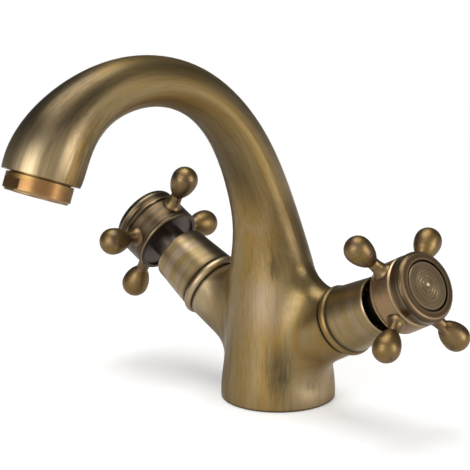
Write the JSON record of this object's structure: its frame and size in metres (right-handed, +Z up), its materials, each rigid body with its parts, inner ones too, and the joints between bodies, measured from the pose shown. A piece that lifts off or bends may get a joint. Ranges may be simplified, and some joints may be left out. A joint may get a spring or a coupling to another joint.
{
  "type": "basin mixer tap",
  "caption": "Basin mixer with a swan-neck spout and a cross handle on each side, in brushed antique brass.",
  "frame": {"origin": "centre of the foot on the basin, at the underside of the base seal", "axes": "+Z up, -Y towards the spout's outlet, +X towards the cold handle (right of the picture)"},
  "size_m": [0.1778, 0.1804, 0.158],
  "materials": {
    "antique_brass": "brushed, darkened brass with lighter rubbed edges",
    "dark_antique_brass": "turned, darker and browner",
    "polished_antique_brass": "smooth, coppery",
    "plain_brass": "machined",
    "stainless_steel": "plain",
    "white_ceramic": "lapped alumina, opaque",
    "black_rubber": "matt",
    "grey_plastic": "moulded acetal",
    "red_fibre": "pressed fibre"
  },
  "bodies": {
    "tap": {"tap_body": "antique_brass", "base_seal": "black_rubber", "aerator_housing": "polished_antique_brass", "aerator_washer": "black_rubber", "aerator_insert": "grey_plastic", "aerator_screen": "stainless_steel", "trim_ring_cold": "antique_brass", "valve_sleeve_cold": "antique_brass", "valve_bonnet_cold": "plain_brass", "bonnet_washer_cold": "red_fibre", "seat_seal_cold": "black_rubber", "fixed_disc_cold": "white_ceramic", "trim_ring_hot": "antique_brass", "valve_sleeve_hot": "antique_brass", "valve_bonnet_hot": "plain_brass", "bonnet_washer_hot": "red_fibre", "seat_seal_hot": "black_rubber", "fixed_disc_hot": "white_ceramic"},
    "cold_handle": {"moving_disc_cold": "white_ceramic", "spindle_cold": "plain_brass", "spindle_o_rings_cold": "black_rubber", "spindle_clip_cold": "stainless_steel", "spline_adapter_cold": "grey_plastic", "handle_hub_cold": "dark_antique_brass", "handle_spokes_cold": "antique_brass", "cap_ring_cold": "dark_antique_brass", "index_disc_cold": "dark_antique_brass", "handle_screw_cold": "stainless_steel"},
    "hot_handle": {"moving_disc_hot": "white_ceramic", "spindle_hot": "plain_brass", "spindle_o_rings_hot": "black_rubber", "spindle_clip_hot": "stainless_steel", "spline_adapter_hot": "grey_plastic", "handle_hub_hot": "dark_antique_brass", "handle_spokes_hot": "antique_brass", "cap_ring_hot": "dark_antique_brass", "index_disc_hot": "dark_antique_brass", "handle_screw_hot": "stainless_steel"}
  },
  "joints": [
    {"name": "cold_handle_turn", "type": "hinge", "parent": "tap", "child": "cold_handle", "pos_m": [0, 0, 0.0202], "axis": [0.878, 0, 0.4787], "range_deg": [0, 90]},
    {"name": "hot_handle_turn", "type": "hinge", "parent": "tap", "child": "hot_handle", "pos_m": [0, 0, 0.0202], "axis": [-0.878, 0, 0.4787], "range_deg": [0, 90]}
  ]
}
